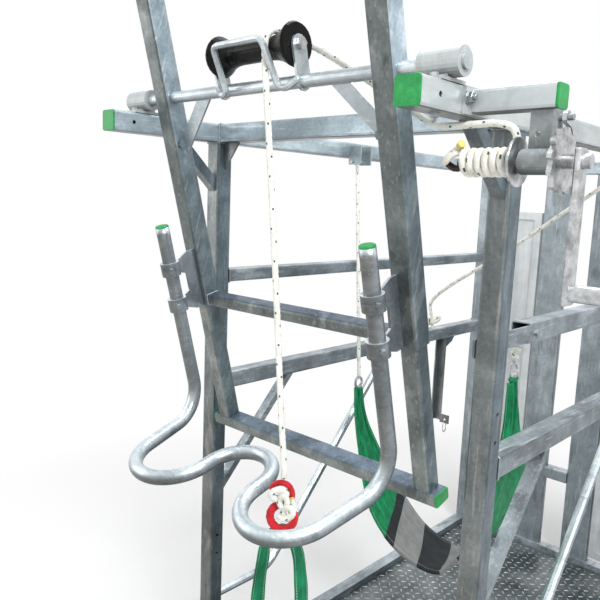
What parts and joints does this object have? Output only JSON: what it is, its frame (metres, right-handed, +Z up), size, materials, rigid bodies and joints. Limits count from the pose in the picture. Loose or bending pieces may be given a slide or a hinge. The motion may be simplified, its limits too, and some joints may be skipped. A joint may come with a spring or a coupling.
{
  "type": "hoof trimming crate",
  "caption": "Free-standing tube crate for cattle hoof care, with a hinged rear gantry, bent leg rest, rope roller, hand winch, belly belt and head gate.",
  "frame": {"origin": "underside of the rear sill tube, on the crate's middle plane, at the ground", "axes": "+Z up, +Y from the rear door to the head gate, +X to the animal's right"},
  "size_m": [1.258, 2.059, 2.3754],
  "materials": {
    "zinc_tube": "mottled hot-dip zinc",
    "floor_steel": "zinc tread plate",
    "pale_panel": "pale matt zinc",
    "green_cap": "satin",
    "bright_steel": "bright zinc plate",
    "black_rubber": "satin",
    "white_rope": "braided",
    "red_rope": "braided",
    "green_webbing": "woven",
    "belt_fabric": "woven"
  },
  "bodies": {
    "crate": {"rear_post_left": "zinc_tube", "rear_post_right": "zinc_tube", "front_post_left": "zinc_tube", "front_post_right": "zinc_tube", "side_rail_left": "zinc_tube", "side_rail_right": "zinc_tube", "rear_cross_tube": "zinc_tube", "front_cross_tube": "zinc_tube", "mid_rail_left": "zinc_tube", "mid_rail_right": "zinc_tube", "low_rail_left": "zinc_tube", "low_rail_right": "zinc_tube", "base_frame": "zinc_tube", "side_brace_left": "zinc_tube", "side_brace_right": "zinc_tube", "kick_guard_left": "zinc_tube", "kick_guard_right": "zinc_tube", "shaft_sleeve_left": "zinc_tube", "shaft_sleeve_right": "zinc_tube", "winch_arm": "zinc_tube", "winch_housing": "zinc_tube", "neck_frame": "zinc_tube", "holder_bar": "zinc_tube", "floor_plate": "floor_steel", "rail_cap_left": "green_cap", "rail_cap_right": "green_cap", "winch_arm_cap": "green_cap", "belt_ring_left": "bright_steel", "belt_ring_right": "bright_steel", "holder_loop": "bright_steel", "winch_rope": "white_rope", "belt_rope_left": "white_rope", "belt_rope_right": "white_rope", "cross_rope": "white_rope", "belly_belt": "belt_fabric"},
    "gantry": {"gantry_shaft": "zinc_tube", "gantry_upright_left": "zinc_tube", "gantry_upright_right": "zinc_tube", "gantry_cross_bar": "zinc_tube", "gantry_top_bar": "zinc_tube", "roller_bracket": "zinc_tube", "roller_axle": "bright_steel", "collar_bracket_left": "zinc_tube", "collar_bracket_right": "zinc_tube", "hoist_rope": "white_rope", "rope_knot": "red_rope", "leg_strap": "green_webbing"},
    "roller": {"guide_roller": "black_rubber"},
    "lower_frame": {"lower_frame": "zinc_tube", "lower_cap_left": "green_cap", "lower_cap_right": "green_cap"},
    "leg_rest": {"leg_rest_bar": "zinc_tube", "rest_plug_left": "green_cap", "rest_plug_right": "green_cap"},
    "drum": {"winch_drum": "bright_steel", "winch_crank": "bright_steel", "rope_winding": "white_rope"},
    "pawl": {"winch_pawl": "bright_steel"},
    "gate_left": {"gate_leaf_left": "pale_panel"},
    "gate_right": {"gate_leaf_right": "pale_panel"}
  },
  "joints": [
    {"name": "gantry_swing", "type": "hinge", "parent": "crate", "child": "gantry", "pos_m": [0, -0.255, 1.78], "axis": [-1, 0, 0], "range_deg": [-15, 75], "deforming": ["winch_rope"]},
    {"name": "roller_spin", "type": "hinge", "parent": "gantry", "child": "roller", "pos_m": [0, -0.27264, 1.84774], "axis": [1, 0, 0], "continuous": true},
    {"name": "lower_frame_slide", "type": "slide", "parent": "gantry", "child": "lower_frame", "axis": [0, -0.2521, 0.9677], "range_m": [-0.1, 0.15]},
    {"name": "leg_rest_slide", "type": "slide", "parent": "gantry", "child": "leg_rest", "axis": [0, -0.2521, 0.9677], "range_m": [-0.06, 0.1]},
    {"name": "drum_spin", "type": "hinge", "parent": "crate", "child": "drum", "pos_m": [0.5, -0.22, 1.62], "axis": [1, 0, 0], "continuous": true, "deforming": ["winch_rope"]},
    {"name": "pawl_lift", "type": "hinge", "parent": "crate", "child": "pawl", "pos_m": [0.64, -0.22, 1.686], "axis": [1, 0, 0], "range_deg": [0, 40]},
    {"name": "gate_left_swing", "type": "hinge", "parent": "crate", "child": "gate_left", "pos_m": [-0.398, 1.6, 0.98], "axis": [0, 0, 1], "range_deg": [0, 95]},
    {"name": "gate_right_swing", "type": "hinge", "parent": "crate", "child": "gate_right", "pos_m": [0.398, 1.6, 0.98], "axis": [0, 0, -1], "range_deg": [0, 95]}
  ]
}
